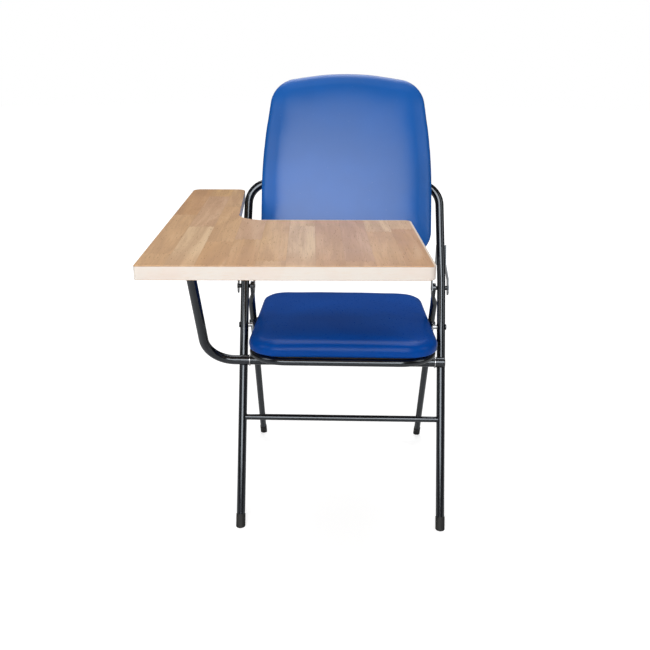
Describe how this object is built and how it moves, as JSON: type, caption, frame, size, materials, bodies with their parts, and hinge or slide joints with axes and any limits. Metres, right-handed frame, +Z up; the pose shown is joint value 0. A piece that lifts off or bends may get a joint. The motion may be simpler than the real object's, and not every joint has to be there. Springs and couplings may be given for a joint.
{
  "type": "folding lecture chair with writing board",
  "caption": "Folding tubular steel lecture chair with padded seat and back and a swinging, lifting L-shaped wooden writing board on a bent side tube.",
  "frame": {"origin": "on the floor, under the middle of the box round the whole chair at rest", "axes": "+X to the right seen from the front, +Y to the back, +Z up"},
  "size_m": [0.5864, 0.9014, 0.9687],
  "materials": {
    "black_paint": "semi-gloss black paint",
    "black_rubber": "matte",
    "black_plastic": "satin",
    "zinc_steel": "bright zinc plating",
    "dark_rivet": "painted over rivet",
    "black_board": "black coated board",
    "plywood": "dark stained plywood",
    "blue_vinyl": "soft grained vinyl",
    "rubberwood": "clear satin lacquer"
  },
  "bodies": {
    "front_frame": {"front_leg_frame": "black_paint", "front_stretcher": "black_paint", "front_foot_caps": "black_rubber", "pivot_bracket_left": "black_paint", "pivot_bracket_right": "black_paint", "pivot_rivets": "dark_rivet", "pivot_spacers": "dark_rivet", "seat_pivot_rivets": "dark_rivet", "seat_pivot_spacers": "zinc_steel", "cross_tube_saddle_left": "black_paint", "cross_tube_saddle_right": "black_paint", "back_support_bars": "black_paint", "back_board": "black_board", "back_cushion": "blue_vinyl", "back_screws": "zinc_steel"},
    "rear_legs": {"rear_leg_left": "black_paint", "rear_leg_right": "black_paint", "rear_stretcher": "black_paint", "rear_foot_caps": "black_rubber", "seat_slide_rivets": "dark_rivet"},
    "seat": {"seat_frame_tube": "black_paint", "seat_rear_bar": "black_paint", "seat_rail_plugs": "black_plastic", "seat_cross_straps": "black_paint", "seat_board": "plywood", "seat_cushion": "blue_vinyl", "seat_screws": "zinc_steel", "seat_side_plate_left": "black_paint", "seat_side_plate_right": "black_paint"},
    "tablet_support": {"tablet_support_tube": "black_paint", "cross_tube_rings": "zinc_steel", "cross_tube_cap": "black_plastic", "tablet_support_plate": "black_paint", "tablet_hinge_pin": "zinc_steel", "tablet_stop_pads": "black_rubber"},
    "tablet": {"tablet_hinge_leaf": "black_paint", "tablet_screws": "zinc_steel", "tablet_board": "rubberwood"}
  },
  "joints": [
    {"name": "rear_leg_fold", "type": "hinge", "parent": "front_frame", "child": "rear_legs", "pos_m": [0.04854, 0.188, 0.5], "axis": [1, 0, 0], "range_deg": [-48, 0]},
    {"name": "seat_fold", "type": "hinge", "parent": "front_frame", "child": "seat", "pos_m": [0.04854, 0.13734, 0.42203], "axis": [1, 0, 0], "range_deg": [-64, 0]},
    {"name": "tablet_swing", "type": "hinge", "parent": "front_frame", "child": "tablet_support", "pos_m": [0.04854, 0.08686, 0.35511], "axis": [1, 0, 0], "range_deg": [0, 60]},
    {"name": "tablet_flip", "type": "hinge", "parent": "tablet_support", "child": "tablet", "pos_m": [-0.2775, -0.06585, 0.688], "axis": [0.0349, -0.9994, 0], "range_deg": [0, 90]}
  ],
  "couplings": [
    {"joint": "seat_fold", "follows": "rear_leg_fold", "ratio": 1.3333}
  ]
}
